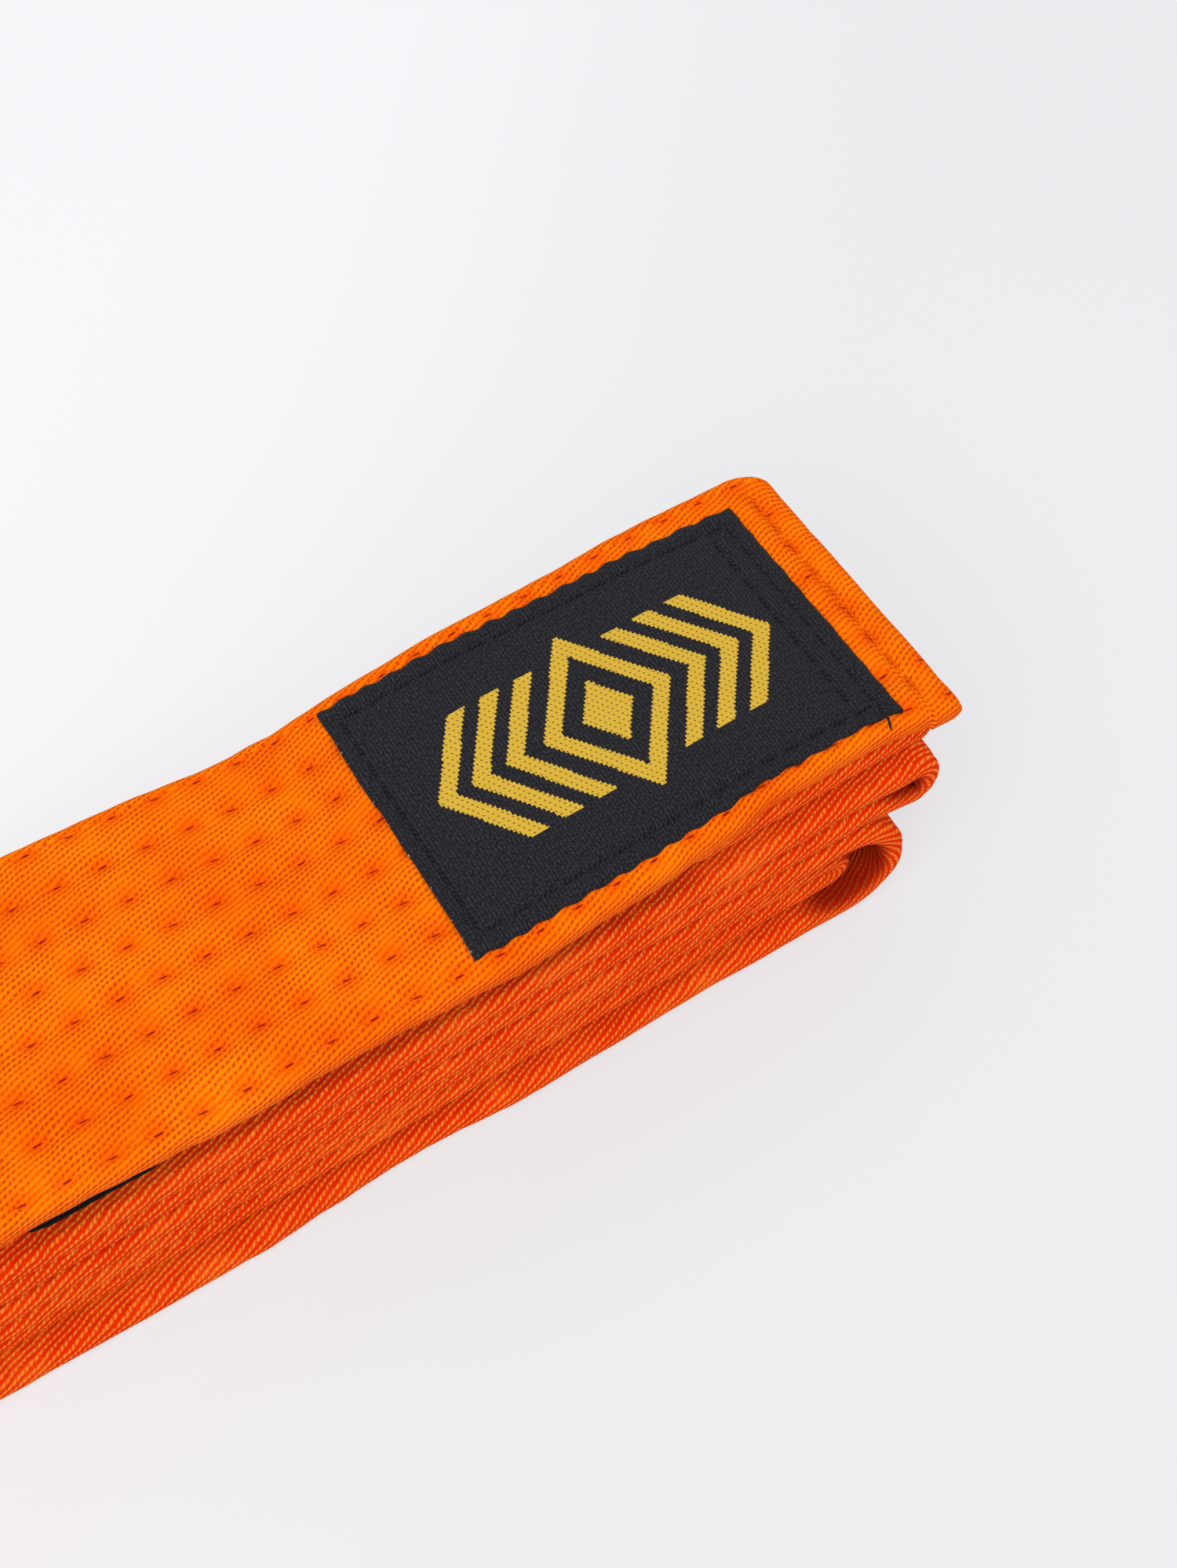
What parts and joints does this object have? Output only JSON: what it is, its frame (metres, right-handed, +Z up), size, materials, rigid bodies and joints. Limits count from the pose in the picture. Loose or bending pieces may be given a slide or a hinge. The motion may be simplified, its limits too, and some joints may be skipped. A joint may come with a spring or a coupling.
{
  "type": "martial arts belt",
  "caption": "Quilted cotton martial arts belt folded into a flat hank, with a woven label on one end and a sewn rank bar on the other.",
  "frame": {"origin": "middle of the hank's footprint, on the surface that its lowest run lies on", "axes": "+X along the belt towards its two free ends, +Y across the belt, +Z up through the stack of runs"},
  "size_m": [0.2788, 0.0412, 0.0343],
  "materials": {
    "cover_twill": "matte cotton twill, quilted",
    "core_cotton": "matte undyed cotton wadding",
    "quilting_thread": "slightly shiny sewing thread",
    "label_satin": "woven satin with a raised gold motif",
    "black_thread": "slightly shiny sewing thread",
    "bar_twill": "matte black cotton twill"
  },
  "bodies": {
    "root": {"cover_folded_runs": "cover_twill", "label_side_ply_folded_runs": "core_cotton", "back_side_ply_folded_runs": "core_cotton", "quilting_row_1_folded_runs": "quilting_thread", "quilting_row_2_folded_runs": "quilting_thread", "quilting_row_3_folded_runs": "quilting_thread", "quilting_row_4_folded_runs": "quilting_thread", "quilting_row_5_folded_runs": "quilting_thread", "quilting_row_6_folded_runs": "quilting_thread", "quilting_row_7_folded_runs": "quilting_thread", "quilting_row_8_folded_runs": "quilting_thread", "cover_outer_fold": "cover_twill", "label_side_ply_outer_fold": "core_cotton", "back_side_ply_outer_fold": "core_cotton", "cover_second_fold": "cover_twill", "label_side_ply_second_fold": "core_cotton", "back_side_ply_second_fold": "core_cotton"},
    "label_run": {"cover_label_run": "cover_twill", "label_side_ply_label_run": "core_cotton", "back_side_ply_label_run": "core_cotton", "quilting_row_1_label_run": "quilting_thread", "quilting_row_2_label_run": "quilting_thread", "quilting_row_3_label_run": "quilting_thread", "quilting_row_4_label_run": "quilting_thread", "quilting_row_5_label_run": "quilting_thread", "quilting_row_6_label_run": "quilting_thread", "quilting_row_7_label_run": "quilting_thread", "quilting_row_8_label_run": "quilting_thread", "end_seam_label_run": "quilting_thread", "woven_label": "label_satin", "label_border_stitching": "black_thread", "label_end_stitching": "black_thread"},
    "bar_run": {"cover_bar_run": "cover_twill", "label_side_ply_bar_run": "core_cotton", "back_side_ply_bar_run": "core_cotton", "quilting_row_1_bar_run": "quilting_thread", "quilting_row_2_bar_run": "quilting_thread", "quilting_row_3_bar_run": "quilting_thread", "quilting_row_4_bar_run": "quilting_thread", "quilting_row_5_bar_run": "quilting_thread", "quilting_row_6_bar_run": "quilting_thread", "quilting_row_7_bar_run": "quilting_thread", "quilting_row_8_bar_run": "quilting_thread", "end_seam_bar_run": "quilting_thread", "rank_bar_sleeve": "bar_twill", "rank_bar_stitching_outer": "black_thread", "rank_bar_stitching_inner": "black_thread"}
  },
  "joints": [
    {"name": "label_run_unfold", "type": "hinge", "parent": "root", "child": "label_run", "pos_m": [-0.12258, 0, 0.01715], "axis": [0, -1, 0], "range_deg": [0, 179], "deforming": ["cover_outer_fold", "label_side_ply_outer_fold", "back_side_ply_outer_fold"]},
    {"name": "bar_run_unfold", "type": "hinge", "parent": "root", "child": "bar_run", "pos_m": [-0.12258, 0, 0.01715], "axis": [0, -1, 0], "range_deg": [0, 179], "deforming": ["cover_second_fold", "label_side_ply_second_fold", "back_side_ply_second_fold"]}
  ],
  "couplings": [
    {"joint": "bar_run_unfold", "follows": "label_run_unfold", "ratio": 1}
  ]
}
